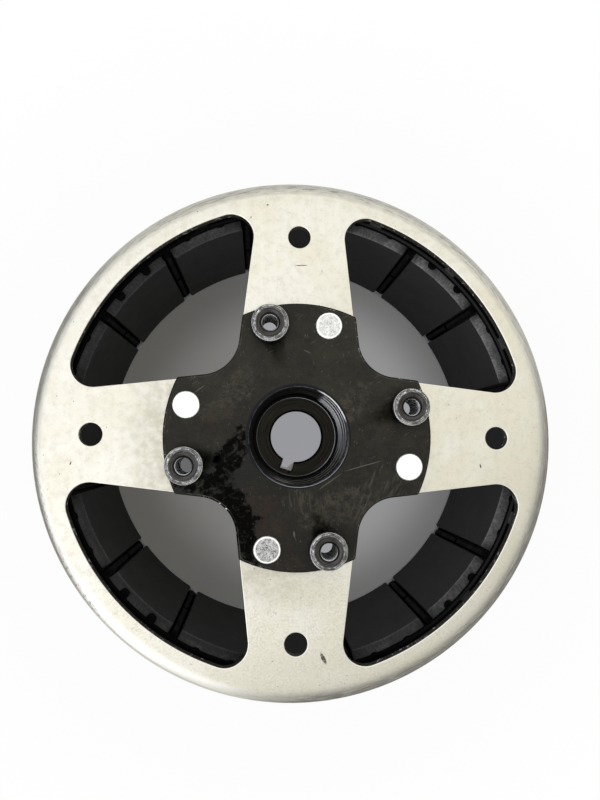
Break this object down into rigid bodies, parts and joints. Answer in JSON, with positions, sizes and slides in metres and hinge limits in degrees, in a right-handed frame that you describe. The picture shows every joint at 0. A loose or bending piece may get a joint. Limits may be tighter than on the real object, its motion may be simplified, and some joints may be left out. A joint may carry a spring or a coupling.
{
  "type": "generator flywheel rotor",
  "caption": "Generator flywheel rotor: spoked steel cup with a ring of arc magnets inside its rim, and a riveted hub with a keyed taper bore and threaded bosses.",
  "frame": {"origin": "on the bore axis in the plane of the cup's open rim, which the rotor stands on", "axes": "+Z along the bore from the open rim to the spoked face; +X and +Y along two spokes"},
  "size_m": [0.232, 0.232, 0.104],
  "materials": {
    "cup": "zinc-plated pressed steel, satin, with handling scuffs",
    "hub": "forged steel with a black oxide finish, oiled",
    "rivet": "bright steel, mottled from pressing",
    "boss": "dark steel, worn bright on its edges",
    "magnet": "ground magnet, matt dark grey",
    "cage": "black moulded plastic"
  },
  "bodies": {
    "root": {"rotor_cup": "cup", "hub": "hub", "hub_rivet_1": "rivet", "hub_rivet_2": "rivet", "hub_rivet_3": "rivet", "hub_rivet_4": "rivet", "threaded_boss_1": "boss", "threaded_boss_2": "boss", "threaded_boss_3": "boss", "threaded_boss_4": "boss", "magnet_01": "magnet", "magnet_02": "magnet", "magnet_03": "magnet", "magnet_04": "magnet", "magnet_05": "magnet", "magnet_06": "magnet", "magnet_07": "magnet", "magnet_08": "magnet", "magnet_09": "magnet", "magnet_10": "magnet", "magnet_11": "magnet", "magnet_12": "magnet", "magnet_13": "magnet", "magnet_14": "magnet", "magnet_15": "magnet", "magnet_16": "magnet", "magnet_cage_upper": "cage", "magnet_cage_lower": "cage"}
  },
  "joints": []
}
